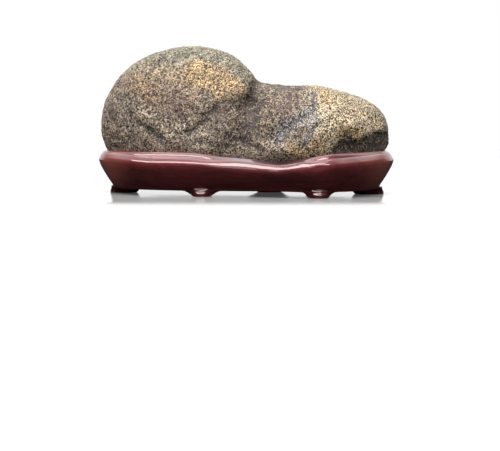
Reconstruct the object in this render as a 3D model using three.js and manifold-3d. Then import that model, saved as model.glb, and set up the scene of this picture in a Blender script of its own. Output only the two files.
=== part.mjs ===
// A scholar's stone resting in the recess of a low carved wooden stand.
//
// Millimetres, +Z up. The origin is on the floor, below the middle of the stand. +X runs along the
// length, from the high dome to the low swell, and -Y is the front.
//
// The stone is a skin of rings across the length. Smooth outlines along X give its height, its depth
// and where it is widest. The stand is turned round the line where the stone meets its rim, and the
// stone's own shape, grown by a small clearance, cuts the recess.

import * as THREE from "three";
import { mergeVertices } from "three/addons/utils/BufferGeometryUtils.js";
import Module from "manifold-3d";

const wasm = await Module();
wasm.setup();

// ---------------------------------------------------------------- driving dimensions

// the stone, end to end
const STONE_LEFT = -125;
const STONE_RIGHT = 122;
const STONE_MIDDLE = (STONE_LEFT + STONE_RIGHT) / 2;
const STONE_HALF = (STONE_RIGHT - STONE_LEFT) / 2;

// gap between the stone and the recess that holds it
const SEAT_CLEARANCE = 0.35;

// heights of the stand above the floor
const RIM_HEIGHT = 36.2;
const UNDERSIDE_HEIGHT = 4.7;

// fineness of the faceted solids
const STONE_STATIONS = 54;
const STONE_SIDES = 40;
const STAND_SIDES = 72;
const FOOT_SIDES = 18;
// how much closer together the stone's rings lie at the step beside the dome
const STATION_CROWDING = 0.06;

// ---------------------------------------------------------------- small helpers

const clamp01 = (t) => Math.min(1, Math.max(0, t));
const smooth = (t) => clamp01(t) ** 2 * (3 - 2 * clamp01(t));
const signedPower = (t, power) => Math.sign(t) * Math.abs(t) ** power;

/** A smooth curve y(x) through a few points that are sorted by x. */
function smoothThrough(points) {
  const last = points.length - 1;
  const slope = points.map((_, i) => {
    const [x0, y0] = points[Math.max(0, i - 1)];
    const [x1, y1] = points[Math.min(last, i + 1)];
    return (y1 - y0) / (x1 - x0);
  });
  return (x) => {
    const clamped = Math.min(points[last][0], Math.max(points[0][0], x));
    let i = 0;
    while (i < last - 1 && clamped > points[i + 1][0]) i += 1;
    const [x0, y0] = points[i];
    const [x1, y1] = points[i + 1];
    const width = x1 - x0;
    const t = (clamped - x0) / width;
    const rise = y1 - y0;
    const bend0 = slope[i] * width - rise;
    const bend1 = rise - slope[i + 1] * width;
    return y0 + rise * t + t * (1 - t) * (bend0 * (1 - t) + bend1 * t);
  };
}

/** A closed mesh from rings of points, each end closed by a fan to its own point. */
function skin(rings, startPoint, endPoint) {
  const sides = rings[0].length;
  const positions = [...rings.flat(), startPoint, endPoint].flatMap((p) => [p.x, p.y, p.z]);
  const start = rings.length * sides;
  const end = start + 1;
  const indices = [];
  for (let side = 0; side < sides; side += 1) {
    const next = (side + 1) % sides;
    indices.push(start, next, side);
    for (let ring = 0; ring < rings.length - 1; ring += 1) {
      const a = ring * sides + side;
      const b = ring * sides + next;
      indices.push(a, b, b + sides, a, b + sides, a + sides);
    }
    const lastRing = (rings.length - 1) * sides;
    indices.push(end, lastRing + side, lastRing + next);
  }
  const geometry = new THREE.BufferGeometry();
  geometry.setAttribute("position", new THREE.Float32BufferAttribute(positions, 3));
  geometry.setIndex(indices);
  return geometry;
}

/** A closed geometry as a solid that can be joined and cut. */
function toSolid(geometry) {
  const bare = geometry.clone();
  bare.deleteAttribute("normal");
  bare.deleteAttribute("uv");
  const merged = mergeVertices(bare, 1e-4);
  return new wasm.Manifold(new wasm.Mesh({
    numProp: 3,
    vertProperties: new Float32Array(merged.attributes.position.array),
    triVerts: new Uint32Array(merged.index.array),
  }));
}

/** A solid's surface as a geometry. */
function toGeometry(solid) {
  const mesh = solid.getMesh();
  const geometry = new THREE.BufferGeometry();
  geometry.setAttribute("position", new THREE.Float32BufferAttribute(mesh.vertProperties, 3));
  geometry.setIndex(Array.from(mesh.triVerts));
  geometry.computeVertexNormals();
  return geometry;
}

// ---------------------------------------------------------------- the stone

// Every outline is a reach from the stone's waist line before its ends are rounded off.

// height of the widest place
const waistHeight = smoothThrough([[-125, 60], [-60, 57], [10, 52], [60, 50], [122, 48.5]]);
// the waist line's place from front to back
const waistMiddle = smoothThrough([
  [-125, 25], [-100, 20.5], [-70, 15], [-40, 11], [-10, 8], [10, 5], [30, 1], [60, -4], [90, -3], [110, 2],
  [122, 8],
]);
// reach up: the high dome, a sharp step down to the saddle, and the low swell
const reachUp = smoothThrough([
  [-125, 80], [-98, 81.7], [-77, 78.6], [-56, 76.5], [-36, 72.7], [-20, 68.2], [-10, 63.8], [0, 56.4], [5, 51.4],
  [10, 45.1], [15, 43.3], [25, 43.3], [38, 43.8], [50, 46], [60, 49.2], [75, 51], [90, 52.3], [106, 57.4],
  [122, 66],
]);
// reach down into the recess
const reachDown = smoothThrough([[-125, 46], [-60, 41.5], [-10, 38.5], [50, 34], [95, 30], [122, 24]]);
// reach to the front and to the back
const reachFront = smoothThrough([
  [-125, 64], [-100, 58], [-80, 54.5], [-55, 50.5], [-36, 48.8], [-10, 49], [12, 49.6], [35, 54], [58, 60.5],
  [80, 64], [100, 63], [122, 58],
]);
const reachBack = smoothThrough([
  [-125, 62], [-100, 58.5], [-70, 55], [-40, 52.4], [-10, 50.1], [10, 49.2], [30, 51.7], [60, 58], [90, 60],
  [110, 57], [122, 52],
]);

// how square each outline is: 2 is an ellipse, more is squarer
const END_ROUNDNESS = 2;
const BOTTOM_END_ROUNDNESS = 3;
const UPPER_ROUNDNESS = 2.25;
const LOWER_ROUNDNESS = 2.6;

// Hollows and swells on the front, each along a line from one place to another, as [x, z].
// A positive depth goes into the stone.
const FRONT_RELIEF = [
  { name: "cleft beside the dome", from: [9, 96], to: [3, 74], radius: 9, depth: 9 },
  { name: "foot of the cleft", from: [3, 74], to: [2, 52], radius: 12, depth: 4.5 },
  { name: "slanting flute", from: [53, 78], to: [20, 52], radius: 9, depth: 5 },
  { name: "swell of the low end", from: [76, 72], to: [98, 64], radius: 17, depth: -3 },
  { name: "lap above the rim", from: [22, 36], to: [48, 40], radius: 11, depth: -3 },
  { name: "undercut at the low end", from: [82, 40], to: [112, 44], radius: 10, depth: 5.5 },
  { name: "pitted hollow", from: [-84, 42], to: [-72, 54], radius: 9, depth: 2.2 },
  { name: "slanting shallow on the dome", from: [-46, 56], to: [-22, 76], radius: 10, depth: 2.4 },
];
const BACK_RELIEF = [
  { name: "back hollow of the dome", from: [-70, 62], to: [-38, 88], radius: 16, depth: 4 },
  { name: "back of the cleft", from: [14, 92], to: [8, 52], radius: 12, depth: 7 },
  { name: "back flute", from: [52, 44], to: [84, 62], radius: 10, depth: 4 },
];

/** Sum of the relief at a place on one face. */
function reliefDepth(relief, x, z) {
  let sum = 0;
  for (const { from, to, radius, depth } of relief) {
    const along = [to[0] - from[0], to[1] - from[1]];
    const away = [x - from[0], z - from[1]];
    const t = clamp01((away[0] * along[0] + away[1] * along[1]) / (along[0] ** 2 + along[1] ** 2));
    const distance = Math.hypot(away[0] - along[0] * t, away[1] - along[1] * t);
    sum += depth * Math.exp(-((distance / radius) ** 2));
  }
  return sum;
}

/** What is left of a reach near the stone's two ends. */
function endTaper(x, grow, roundness) {
  const along = Math.min(1, Math.abs(x - STONE_MIDDLE) / (STONE_HALF + grow));
  return (1 - along ** roundness) ** (1 / roundness);
}

/** The cross-section of the stone at x, grown by a clearance. */
function stoneSection(x, grow) {
  const rounded = endTaper(x, grow, END_ROUNDNESS);
  const up = (reachUp(x) + grow) * rounded;
  const down = (reachDown(x) + grow) * endTaper(x, grow, BOTTOM_END_ROUNDNESS);
  const reachOf = (side, z) => {
    const reach = side < 0 ? reachFront(x) : reachBack(x);
    const relief = reliefDepth(side < 0 ? FRONT_RELIEF : BACK_RELIEF, x, z);
    return (reach - relief + grow) * rounded;
  };
  return { up, down, reachOf, waist: waistHeight(x), middle: waistMiddle(x) };
}

/** A point on the stone's skin: x picks the ring, and angle goes round it from the back. */
function stonePoint(x, angle, grow) {
  const { up, down, reachOf, waist, middle } = stoneSection(x, grow);
  const above = Math.sin(angle) >= 0;
  const power = 2 / (above ? UPPER_ROUNDNESS : LOWER_ROUNDNESS);
  const z = waist + (above ? up : down) * signedPower(Math.sin(angle), power);
  const y = middle + reachOf(Math.cos(angle), z) * signedPower(Math.cos(angle), power);
  return new THREE.Vector3(x, y, z);
}

/** True where a place is inside the stone grown by a clearance. */
function insideStone(x, y, z, grow) {
  if (Math.abs(x - STONE_MIDDLE) >= STONE_HALF + grow) return false;
  const { up, down, reachOf, waist, middle } = stoneSection(x, grow);
  const above = z >= waist;
  const roundness = above ? UPPER_ROUNDNESS : LOWER_ROUNDNESS;
  const high = Math.abs(z - waist) / (above ? up : down);
  const wide = Math.abs(y - middle) / reachOf(y - middle, z);
  return high ** roundness + wide ** roundness < 1;
}

function makeStoneGeometry(grow) {
  const rings = [];
  for (let station = 1; station < STONE_STATIONS; station += 1) {
    const share = station / STONE_STATIONS;
    const turn = Math.PI * (share + STATION_CROWDING * Math.sin(2 * Math.PI * share));
    const x = STONE_MIDDLE - (STONE_HALF + grow) * Math.cos(turn);
    const ring = [];
    for (let side = 0; side < STONE_SIDES; side += 1) {
      ring.push(stonePoint(x, (2 * Math.PI * side) / STONE_SIDES, grow));
    }
    rings.push(ring);
  }
  const ends = [STONE_LEFT - grow, STONE_RIGHT + grow].map(
    (x) => new THREE.Vector3(x, waistMiddle(x), waistHeight(x)),
  );
  return skin(rings, ends[0], ends[1]);
}

// ---------------------------------------------------------------- the stand

// the plan is turned about this place
const STAND_MIDDLE = new THREE.Vector2(0, 2);

// how far the front of the rim dips to follow the stone
const rimDip = smoothThrough([
  [-60, 0], [-45, 0.3], [-25, 2.4], [0, 4.3], [15, 6.3], [29, 7.5], [40, 6.8], [52, 4.2], [66, 1.3], [78, 0],
  [90, 0],
]);
// the dip comes in faster than the plan turns from the stand's sides to its front
const DIP_GAIN = 1.6;
// the ends of the rim rise a little
const END_RISE = 0.9;

// The section of the stand, outside the stone's outline. Each row is [out, height, follows, round out,
// round height]: out is measured from the outline, height is above the floor, and follows is the share
// of the rim's dip. The last two are for the dip, where the lip gives way to one round shoulder.
const STAND_SECTION = [
  [-24, UNDERSIDE_HEIGHT, 0, -24, UNDERSIDE_HEIGHT],
  [-8.5, UNDERSIDE_HEIGHT, 0, -8.5, UNDERSIDE_HEIGHT],
  [-5.8, 5.3, 0, -5.8, 5.3],
  [-5, 7.4, 0.05, -5, 7.4],
  [-2.9, 10.6, 0.1, -2.9, 10.6],
  [-0.5, 13.8, 0.2, -0.5, 13.8],
  [2.2, 17.6, 0.32, 2.2, 17.6],
  [4.7, 22, 0.45, 4.7, 22],
  [6.1, 25.4, 0.55, 6.1, 25.4],
  [6.6, 27.8, 0.6, 6.6, 27.8],
  [6.4, 30, 0.64, 6.5, 30],
  [5.3, 31.6, 0.7, 5.9, 31.8],
  [3.6, 32.7, 0.85, 4.9, 33.4],
  [2.8, 33.8, 1, 3.7, 34.7],
  [2.3, 35.4, 1, 2.4, 35.7],
  [1.3, 36.3, 1, 1.2, 36.3],
  [-3, 36.5, 1, -3, 36.5],
];
// the lip gives way while the rim dips from the first of these depths to the second
const LIP_FADE = [0.8, 3.6];

// The five feet: where each stands on the plan, as an angle from +X, how deep it reaches inward, how far
// its toe stands inside the stone's outline, and what is added to its section's half width.
const FEET = [
  { name: "left end", angle: 164, depth: 24.2, setback: 1.1, widening: 2 },
  { name: "right end", angle: 6, depth: 25.9, setback: 0.8, widening: 2 },
  { name: "front left", angle: -137.5, depth: 20, setback: 2.8, widening: 0 },
  { name: "front right", angle: -43.7, depth: 20, setback: 2.6, widening: 3.2 },
  { name: "back", angle: 66, depth: 20, setback: 2.8, widening: 3.2 },
];
// A foot's rings from the floor up. Each row is [height, half width, drawn in]: drawn in is 0 where the
// foot reaches out to its toe, and 1 where it has gone back to its neck.
const FOOT_SECTION = [
  [0, 6.6, 0.1],
  [0.9, 8, 0],
  [2.4, 9.6, 0.04],
  [3.6, 11.1, 0.36],
  [4.8, 12.8, 0.7],
  [7.4, 13.4, 1],
];
// distance of a foot's neck from the stone's outline, inward
const NECK_SETBACK = 6.2;
// how much of its growing width a foot's inner end takes too
const INNER_FLARE = 0.35;
const FOOT_SQUARENESS = 2.3;
// a small turn of the plan angle, in radians, for measuring the outline's direction
const TURN_STEP = 0.04;
// halvings of the reach while the outline is found
const OUTLINE_HALVINGS = 40;

/** How far the rim is below its plain height, at a plan angle and a place along X. */
function rimDrop(angle, x) {
  return rimDip(x) * smooth(-DIP_GAIN * Math.sin(angle)) - END_RISE * Math.cos(angle) ** 4;
}

/** Where the rim meets the stone, in the direction of a plan angle. */
function outlinePoint(angle) {
  const direction = new THREE.Vector2(Math.cos(angle), Math.sin(angle));
  let near = 0;
  let far = STONE_RIGHT - STONE_LEFT;
  for (let step = 0; step < OUTLINE_HALVINGS; step += 1) {
    const reach = (near + far) / 2;
    const place = direction.clone().multiplyScalar(reach).add(STAND_MIDDLE);
    if (insideStone(place.x, place.y, RIM_HEIGHT - rimDrop(angle, place.x), SEAT_CLEARANCE)) near = reach;
    else far = reach;
  }
  return direction.multiplyScalar(near).add(STAND_MIDDLE);
}

/** The outline's outward direction at a plan angle. */
function outlineNormal(angle) {
  const along = outlinePoint(angle + TURN_STEP).sub(outlinePoint(angle - TURN_STEP)).normalize();
  return new THREE.Vector2(along.y, -along.x);
}

/** The stand before the recess is cut and its feet are joined. */
function makeStandBlank() {
  const rings = STAND_SECTION.map(() => []);
  for (let side = 0; side < STAND_SIDES; side += 1) {
    const angle = (2 * Math.PI * side) / STAND_SIDES;
    const edge = outlinePoint(angle);
    const outward = outlineNormal(angle);
    const drop = rimDrop(angle, edge.x);
    const roundShare = smooth((drop - LIP_FADE[0]) / (LIP_FADE[1] - LIP_FADE[0]));
    STAND_SECTION.forEach(([lipOut, lipHeight, follows, roundOut, roundHeight], row) => {
      const out = THREE.MathUtils.lerp(lipOut, roundOut, roundShare);
      const height = THREE.MathUtils.lerp(lipHeight, roundHeight, roundShare);
      const place = outward.clone().multiplyScalar(out).add(edge);
      rings[row].push(new THREE.Vector3(place.x, place.y, height - drop * follows));
    });
  }
  const lowest = new THREE.Vector3(STAND_MIDDLE.x, STAND_MIDDLE.y, UNDERSIDE_HEIGHT);
  const highest = new THREE.Vector3(STAND_MIDDLE.x, STAND_MIDDLE.y, RIM_HEIGHT);
  return skin(rings, lowest, highest);
}

/** One foot, standing on the floor below the stand's wall and bent along with the outline. */
function makeFoot({ angle, depth, setback, widening }) {
  const turn = THREE.MathUtils.degToRad(angle);
  const edge = outlinePoint(turn);
  const outward = outlineNormal(turn);
  const sideways = new THREE.Vector2(-outward.y, outward.x);
  const stretch = outlinePoint(turn + TURN_STEP).distanceTo(outlinePoint(turn - TURN_STEP));
  const radiansPerMillimetre = (2 * TURN_STEP) / stretch;
  const soleHalfWidth = FOOT_SECTION[0][1];
  const rings = FOOT_SECTION.map(([height, sectionHalfWidth, drawnIn]) => {
    const halfWidth = sectionHalfWidth + widening;
    const front = -THREE.MathUtils.lerp(setback, NECK_SETBACK, drawnIn);
    const rear = -setback - depth - INNER_FLARE * (sectionHalfWidth - soleHalfWidth);
    const halfDepth = (front - rear) / 2;
    const middle = (front + rear) / 2;
    const ring = [];
    for (let side = 0; side < FOOT_SIDES; side += 1) {
      const around = (2 * Math.PI * side) / FOOT_SIDES;
      const out = middle + halfDepth * signedPower(Math.cos(around), 2 / FOOT_SQUARENESS);
      const across = halfWidth * signedPower(Math.sin(around), 2 / FOOT_SQUARENESS);
      // the foot follows the outline's bend and keeps its width
      const behind = outlinePoint(turn + across * radiansPerMillimetre).sub(edge).dot(outward);
      ring.push(new THREE.Vector3(
        edge.x + outward.x * (out + behind) + sideways.x * across,
        edge.y + outward.y * (out + behind) + sideways.y * across,
        height,
      ));
    }
    return ring;
  });
  const centre = (ring) => ring.reduce((sum, p) => sum.add(p), new THREE.Vector3()).divideScalar(ring.length);
  return skin(rings, centre(rings[0]), centre(rings[rings.length - 1]));
}

function makeStandGeometry() {
  let stand = toSolid(makeStandBlank());
  for (const foot of FEET) stand = stand.add(toSolid(makeFoot(foot)));
  return toGeometry(stand.subtract(toSolid(makeStoneGeometry(SEAT_CLEARANCE))));
}

// ---------------------------------------------------------------- the part

const stoneMaterial = new THREE.MeshStandardMaterial({ color: 0x6e6455, roughness: 0.75, metalness: 0 });
const woodMaterial = new THREE.MeshStandardMaterial({ color: 0x4c1c1a, roughness: 0.25, metalness: 0 });

const stone = new THREE.Mesh(toGeometry(toSolid(makeStoneGeometry(0))), stoneMaterial);
stone.name = "stone";

const stand = new THREE.Mesh(makeStandGeometry(), woodMaterial);
stand.name = "stand";

const part = new THREE.Group();
part.add(stone, stand);

// the origin is below the middle of the whole part
const middle = new THREE.Box3().setFromObject(part).getCenter(new THREE.Vector3());
part.position.set(-middle.x, -middle.y, 0);
part.updateMatrixWorld(true);

export default part;
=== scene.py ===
"""A scholar's stone resting in the fitted recess of a low carved and lacquered wooden stand."""
import math

import bmesh
import bpy
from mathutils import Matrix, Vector
from mathutils.bvhtree import BVHTree


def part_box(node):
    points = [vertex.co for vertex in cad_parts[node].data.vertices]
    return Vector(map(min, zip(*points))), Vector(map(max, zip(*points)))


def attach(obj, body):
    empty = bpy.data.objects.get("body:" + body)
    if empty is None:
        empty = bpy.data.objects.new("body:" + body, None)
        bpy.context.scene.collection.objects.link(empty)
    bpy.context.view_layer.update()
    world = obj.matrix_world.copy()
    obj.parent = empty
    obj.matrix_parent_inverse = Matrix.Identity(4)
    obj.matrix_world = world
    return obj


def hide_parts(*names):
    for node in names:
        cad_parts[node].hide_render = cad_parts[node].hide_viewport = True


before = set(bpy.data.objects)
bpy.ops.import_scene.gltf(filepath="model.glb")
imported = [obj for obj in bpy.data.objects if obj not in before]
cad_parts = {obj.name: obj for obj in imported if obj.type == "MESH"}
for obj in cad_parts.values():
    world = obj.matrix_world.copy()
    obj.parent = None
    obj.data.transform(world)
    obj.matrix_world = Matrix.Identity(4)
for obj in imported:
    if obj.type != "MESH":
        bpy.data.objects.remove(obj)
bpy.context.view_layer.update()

MM = 0.001
STAND_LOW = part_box("stand")[0]
JOIN_DISTANCE = 0.01 * MM
NOT_ZERO = 1e-12
WHITE = (1.0, 1.0, 1.0, 1.0)


# ---------------------------------------------------------------- node trees

class Graph:
    """Adds nodes to one tree. Each call returns an output socket, ready to go into the next call."""

    def __init__(self, tree):
        self.tree = tree

    def node(self, kind, *values, out=0, **settings):
        """A node of that kind. Values fill its inputs in order, and None leaves one as it is."""
        node = self.tree.nodes.new(kind)
        for name, setting in settings.items():
            setattr(node, name, setting)
        sockets = [socket for socket in node.inputs if socket.enabled]
        for socket, value in zip(sockets, values):
            self.fill(socket, value)
        return node.outputs[out]

    def fill(self, socket, value):
        """Joins another socket to this one, or sets its value. None leaves it as it is."""
        if value is None:
            return
        if isinstance(value, bpy.types.NodeSocket):
            self.tree.links.new(value, socket)
        else:
            socket.default_value = value

    def math(self, operation, *values, clamp=False):
        """Arithmetic on numbers."""
        return self.node("ShaderNodeMath", *values, operation=operation, use_clamp=clamp)

    def vector(self, operation, *values):
        """Arithmetic on vectors. It gives a number where the operation measures something."""
        out = "Value" if operation in {"LENGTH", "DISTANCE", "DOT_PRODUCT"} else "Vector"
        return self.node("ShaderNodeVectorMath", *values, operation=operation, out=out)

    def scaled(self, vector, factor):
        """The vector times a number."""
        node = self.tree.nodes.new("ShaderNodeVectorMath")
        node.operation = "SCALE"
        self.fill(node.inputs["Vector"], vector)
        self.fill(node.inputs["Scale"], factor)
        return node.outputs["Vector"]

    def split(self, vector):
        """A vector's x, y and z."""
        node = self.tree.nodes.new("ShaderNodeSeparateXYZ")
        self.fill(node.inputs[0], vector)
        return node.outputs["X"], node.outputs["Y"], node.outputs["Z"]

    def join(self, x=0.0, y=0.0, z=0.0):
        """A vector from x, y and z."""
        return self.node("ShaderNodeCombineXYZ", x, y, z)

    def ramp(self, value, low, high, to_low=0.0, to_high=1.0):
        """A smooth step from to_low to to_high as the value goes from low to high."""
        return self.node(
            "ShaderNodeMapRange", value, low, high, to_low, to_high, interpolation_type="SMOOTHSTEP",
        )

    def blend(self, factor, a, b):
        """A number that goes from a to b with the factor."""
        node = self.tree.nodes.new("ShaderNodeMix")
        node.data_type = "FLOAT"
        self.fill(node.inputs[0], factor)
        self.fill(node.inputs[2], a)
        self.fill(node.inputs[3], b)
        return node.outputs[0]

    def colour(self, factor, a, b, mode="MIX"):
        """A colour that goes from a to b with the factor."""
        node = self.tree.nodes.new("ShaderNodeMix")
        node.data_type = "RGBA"
        node.blend_type = mode
        self.fill(node.inputs[0], factor)
        self.fill(node.inputs[6], rgba(a))
        self.fill(node.inputs[7], rgba(b))
        return node.outputs[2]

    def grey(self, level):
        """A colour without tint, as bright as the level."""
        return self.node("ShaderNodeCombineColor", level, level, level)

    def stored(self, geometry, name, value, kind):
        """The geometry with a value stored at its points."""
        return self.node(
            "GeometryNodeStoreNamedAttribute", geometry, None, name, value, data_type=kind, domain="POINT",
        )

    def noise(self, place, size, detail=2.0, rough=0.5, distortion=0.0, shift=0.0):
        """Smooth noise around 0.5 whose lumps are about that size, in metres."""
        moved = self.vector("ADD", place, (shift, shift * 0.7, -shift))
        node = self.tree.nodes.new("ShaderNodeTexNoise")
        self.fill(node.inputs["Vector"], moved)
        node.inputs["Scale"].default_value = 1.0 / size
        node.inputs["Detail"].default_value = detail
        node.inputs["Roughness"].default_value = rough
        node.inputs["Distortion"].default_value = distortion
        return node.outputs[0]

    def cells(self, place, size, feature="F1"):
        """Distance to the nearest of many scattered points about that far apart."""
        node = self.tree.nodes.new("ShaderNodeTexVoronoi")
        node.feature = feature
        self.fill(node.inputs["Vector"], place)
        node.inputs["Scale"].default_value = 1.0 / size
        return node.outputs["Distance"]

    def grains(self, place, size):
        """A random number from 0 to 1 for each grain about that size."""
        node = self.tree.nodes.new("ShaderNodeTexVoronoi")
        self.fill(node.inputs["Vector"], place)
        node.inputs["Scale"].default_value = 1.0 / size
        return self.split(node.outputs["Color"])[0]


def rgba(value):
    """A plain colour made opaque. A socket stays as it is."""
    if isinstance(value, tuple) and len(value) == 3:
        return (*value, 1.0)
    return value


def new_tree(name, **inputs):
    """A geometry tree with those named inputs, each with its usual value. Gives the graph and sockets."""
    tree = bpy.data.node_groups.new(name, "GeometryNodeTree")
    kinds = {int: "NodeSocketInt", float: "NodeSocketFloat", type(None): "NodeSocketObject"}
    tree.interface.new_socket("Geometry", in_out="INPUT", socket_type="NodeSocketGeometry")
    for label, usual in inputs.items():
        kind = kinds.get(type(usual), "NodeSocketObject")
        socket = tree.interface.new_socket(label, in_out="INPUT", socket_type=kind)
        if kind != "NodeSocketObject":
            socket.default_value = usual
    tree.interface.new_socket("Geometry", in_out="OUTPUT", socket_type="NodeSocketGeometry")
    entry = tree.nodes.new("NodeGroupInput")
    return Graph(tree), {socket.name: socket for socket in entry.outputs if socket.name}


def end_tree(graph, geometry, material):
    """The last nodes of each tree: smooth faces, real geometry, and the material on it."""
    smooth = graph.node("GeometryNodeSetShadeSmooth", geometry)
    real = graph.node("GeometryNodeRealizeInstances", smooth)
    done = graph.tree.nodes.new("GeometryNodeSetMaterial")
    graph.fill(done.inputs["Geometry"], real)
    done.inputs["Material"].default_value = material
    leave = graph.tree.nodes.new("NodeGroupOutput")
    graph.fill(leave.inputs[0], done.outputs[0])


def grow(source, graph, name, **values):
    """Runs the tree on the source object, and gives the result as a plain mesh object of that name."""
    modifier = source.modifiers.new("tree", "NODES")
    modifier.node_group = graph.tree
    for socket in graph.tree.interface.items_tree:
        if socket.in_out == "INPUT" and socket.name in values:
            modifier[socket.identifier] = values[socket.name]
    depsgraph = bpy.context.evaluated_depsgraph_get()
    evaluated = source.evaluated_get(depsgraph)
    mesh = bpy.data.meshes.new_from_object(evaluated, preserve_all_data_layers=True, depsgraph=depsgraph)
    source.modifiers.remove(modifier)
    bpy.data.objects.remove(source)
    mesh.name = name
    return add_object(name, mesh)


def add_object(name, data):
    """A new object in the scene, at the origin."""
    made = bpy.data.objects.new(name, data)
    bpy.context.scene.collection.objects.link(made)
    return made


def merged_copy(node, name):
    """A copy of a plain solid's mesh with its loose triangles joined."""
    shape = bmesh.new()
    shape.from_mesh(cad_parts[node].data)
    bmesh.ops.remove_doubles(shape, verts=shape.verts, dist=JOIN_DISTANCE)
    mesh = bpy.data.meshes.new(name)
    shape.to_mesh(mesh)
    shape.free()
    mesh.materials.clear()
    return add_object(name, mesh)


# ---------------------------------------------------------------- camera, floor and light

CAMERA_LENS = 112.03
CAMERA_SENSOR = 36.0
CAMERA_REACH = 20.0
CAMERA_PLACE = (4.1, -1316.1, 84.8)     # mm
CAMERA_LOOKS_DOWN = 4.83                # degrees
FLOOR_RADIUS = 1.6
FLOOR_SIDES = 96
FLOOR_GREY = (0.7, 0.7, 0.7, 1.0)
FLOOR_UNDERTONE = (0.03, 0.028, 0.028, 1.0)
# The polish runs out in front of the stand: where it starts to and where it has, then both roughnesses.
FLOOR_POLISH = (-0.075, -0.15, 0.1, 0.5)
# The floor thins out with the distance from the stand: where it starts to and where it has gone.
FLOOR_FADES = (0.5, 1.5, 1.0, 0.0)
STAND_MIDDLE = (0.0, 0.0, 0.05)
STONE_MIDDLE = (0.0, 0.0, 0.06)


def point(x, y, z):
    """A place in metres from millimetres."""
    return (x * MM, y * MM, z * MM)


def make_camera():
    """A long lens straight in front, looking slightly down."""
    data = bpy.data.cameras.new("camera")
    data.lens = CAMERA_LENS
    data.sensor_width = CAMERA_SENSOR
    data.clip_end = CAMERA_REACH
    camera = add_object("camera", data)
    camera.location = point(*CAMERA_PLACE)
    camera.rotation_euler = (math.radians(90.0 - CAMERA_LOOKS_DOWN), 0.0, 0.0)
    bpy.context.scene.camera = camera


def make_floor():
    """A pale polished floor that thins out to nothing far from the stand."""
    bpy.ops.mesh.primitive_circle_add(vertices=FLOOR_SIDES, radius=FLOOR_RADIUS, fill_type="NGON")
    floor = bpy.context.object
    floor.name = "floor"
    material, graph, place, shader = new_material("pale_floor")
    graph.fill(shader.inputs["Roughness"], graph.ramp(graph.split(place)[1], *FLOOR_POLISH))
    shader.inputs["IOR"].default_value = 1.6
    reach = graph.vector("LENGTH", place)
    graph.fill(shader.inputs["Alpha"], graph.ramp(reach, *FLOOR_FADES))
    shader.inputs["Base Color"].default_value = FLOOR_GREY
    shader.inputs["Emission Color"].default_value = WHITE
    shader.inputs["Emission Strength"].default_value = 0.05
    dark = graph.node("ShaderNodeBsdfDiffuse", FLOOR_UNDERTONE)
    paths = graph.tree.nodes.new("ShaderNodeLightPath")
    both = graph.node("ShaderNodeMixShader", paths.outputs["Is Camera Ray"], dark, shader.outputs[0])
    graph.fill(graph.tree.nodes["Material Output"].inputs["Surface"], both)
    floor.data.materials.append(material)


# How bright the room is in a mirror: low behind, above, and the least anywhere.
MIRRORED_BEHIND = 1.1
MIRRORED_ABOVE = 3.2
MIRRORED_LEAST = 0.03
# How much soft light comes from above, from the front, and from everywhere.
SOFT_ABOVE = 0.35
SOFT_FRONT = 0.25
SOFT_LEAST = 0.1
# The room darkens below the horizon to this share.
BELOW_HORIZON = 0.05


def make_world():
    """A white room that is bright above and behind, and dim low down in front."""
    world = bpy.data.worlds.new("room")
    world.use_nodes = True
    world.node_tree.nodes.clear()
    graph = Graph(world.node_tree)
    direction = graph.node("ShaderNodeTexCoord", out="Generated")
    _, depth, height = graph.split(direction)
    paths = graph.tree.nodes.new("ShaderNodeLightPath")
    low_behind = graph.math("MULTIPLY", graph.ramp(depth, 0.45, 0.75), MIRRORED_BEHIND)
    high = graph.math("MULTIPLY", graph.ramp(height, 0.3, 0.75), MIRRORED_ABOVE)
    high = graph.math("MULTIPLY", high, graph.ramp(depth, -0.45, 0.1, 0.2, 1.0))
    mirrored = graph.math("ADD", graph.math("MAXIMUM", low_behind, high), MIRRORED_LEAST)
    from_above = graph.ramp(height, -0.1, 1.0, 0.0, SOFT_ABOVE)
    from_front = graph.ramp(depth, 0.3, -0.8, 0.0, SOFT_FRONT)
    soft = graph.math("ADD", graph.math("ADD", from_above, from_front), SOFT_LEAST)
    level = graph.blend(paths.outputs["Is Glossy Ray"], soft, mirrored)
    level = graph.math("MULTIPLY", level, graph.ramp(height, -0.14, 0.03, BELOW_HORIZON, 1.0))
    lit = graph.node("ShaderNodeBackground", graph.grey(level), 1.0)
    seen = graph.node("ShaderNodeBackground", WHITE, 1.0)
    both = graph.node("ShaderNodeMixShader", paths.outputs["Is Camera Ray"], lit, seen)
    leave = graph.tree.nodes.new("ShaderNodeOutputWorld")
    graph.fill(leave.inputs["Surface"], both)
    bpy.context.scene.world = world


def make_light(name, place, aim, width, depth, power, only_gloss=False, only_soft=False):
    """A flat light. It may show only in gloss, or give only soft light that no gloss shows."""
    data = bpy.data.lights.new(name, "AREA")
    data.shape = "RECTANGLE"
    data.size = width
    data.size_y = depth
    data.energy = power
    light = add_object(name, data)
    light.location = place
    light.rotation_euler = (Vector(aim) - Vector(place)).to_track_quat("-Z", "Y").to_euler()
    light.visible_diffuse = not only_gloss
    light.visible_glossy = not only_soft


def make_lights():
    """Soft light from overhead and in front, and two broad lights that draw the lacquer's highlights."""
    make_light(
        "overhead", place=(-0.12, -0.47, 1.15), aim=STAND_MIDDLE, width=1.3, depth=0.5, power=15.0,
        only_soft=True,
    )
    make_light(
        "ceiling", place=(-0.12, -0.2, 1.2), aim=STAND_MIDDLE, width=1.3, depth=0.9, power=13.5,
        only_gloss=True,
    )
    make_light(
        "key", place=(-0.35, -1.0, 1.0), aim=STAND_MIDDLE, width=2.3, depth=0.45, power=48.0,
        only_gloss=True,
    )
    make_light("front_fill", place=(-0.1, -1.7, 0.6), aim=STONE_MIDDLE, width=1.4, depth=0.6, power=6.5)


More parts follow.
